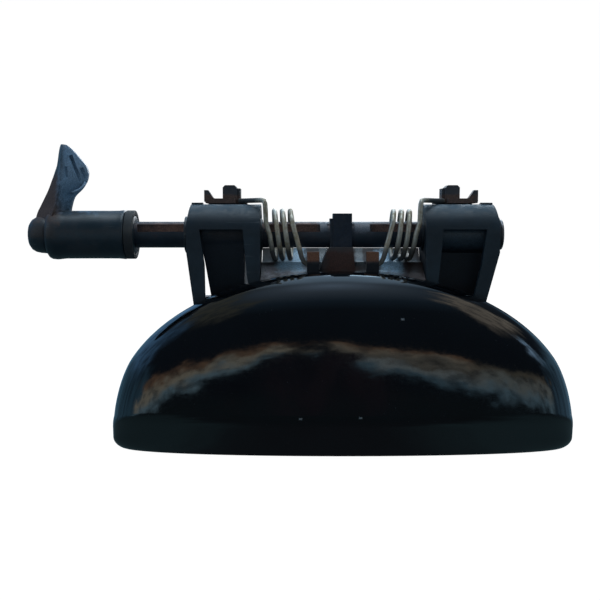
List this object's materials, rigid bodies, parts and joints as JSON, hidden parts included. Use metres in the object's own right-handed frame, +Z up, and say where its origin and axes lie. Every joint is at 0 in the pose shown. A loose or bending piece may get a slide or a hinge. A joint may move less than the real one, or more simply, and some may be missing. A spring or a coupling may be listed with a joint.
{
  "type": "pull-flap door handle",
  "caption": "Vehicle outer door handle with a half-moon pull flap on two hollow hinge arms, wire return springs and a cross shaft with a release lever.",
  "frame": {"origin": "middle of the mounting frame's seat on the door, between its two tapped holes", "axes": "+X along the hinge axis away from the release lever, +Y into the door, +Z up"},
  "size_m": [0.1863, 0.052, 0.1028],
  "materials": {
    "gloss_black": "deep gloss black lacquer",
    "carrier_plastic": "dusty, greasy black plastic",
    "slate_plastic": "satin blue-black plastic with dust",
    "liner_plastic": "fine textured black plastic",
    "zinc_steel": "bright zinc plating",
    "frame_plastic": "black plastic browned by grime",
    "bush_plastic": "grey plastic, polished by wear",
    "spring_steel": "zinc-plated spring wire, yellowed",
    "insert_brass": "turned brass",
    "seal_rubber": "matt black rubber",
    "shaft_plastic": "black plastic with brown grime",
    "lever_plastic": "satin blue-black plastic",
    "ring_plastic": "dusty grey-black plastic",
    "clip_steel": "blackened steel",
    "washer_nylon": "natural nylon"
  },
  "bodies": {
    "frame": {"mounting_frame": "frame_plastic", "left_bearing_bush": "bush_plastic", "right_bearing_bush": "bush_plastic", "left_return_spring": "spring_steel", "right_return_spring": "spring_steel", "threaded_inserts": "insert_brass", "frame_gasket": "seal_rubber", "stop_buffers": "seal_rubber", "left_thrust_washer": "washer_nylon", "right_thrust_washer": "washer_nylon"},
    "flap": {"flap_cover": "gloss_black", "flap_carrier": "carrier_plastic", "left_hinge_arm": "slate_plastic", "right_hinge_arm": "slate_plastic", "finger_liner": "liner_plastic", "cover_screws": "zinc_steel", "arm_screws": "zinc_steel"},
    "shaft": {"drive_shaft": "shaft_plastic", "release_lever": "lever_plastic", "hub_end_cap": "lever_plastic", "hub_retaining_ring": "ring_plastic", "lever_pin": "zinc_steel", "shaft_end_clip": "clip_steel"}
  },
  "joints": [
    {"name": "flap_hinge", "type": "hinge", "parent": "frame", "child": "flap", "pos_m": [0, -0.018, 0.04], "axis": [-1, 0, 0], "range_deg": [0, 35], "stiffness_Nm_per_rad": 0.5, "springref_deg": -28.65, "deforming": ["left_return_spring", "right_return_spring"]},
    {"name": "shaft_turn", "type": "hinge", "parent": "frame", "child": "shaft", "pos_m": [0, -0.018, 0.04], "axis": [-1, 0, 0], "range_deg": [0, 35]}
  ],
  "couplings": [
    {"joint": "shaft_turn", "follows": "flap_hinge", "ratio": 1}
  ]
}
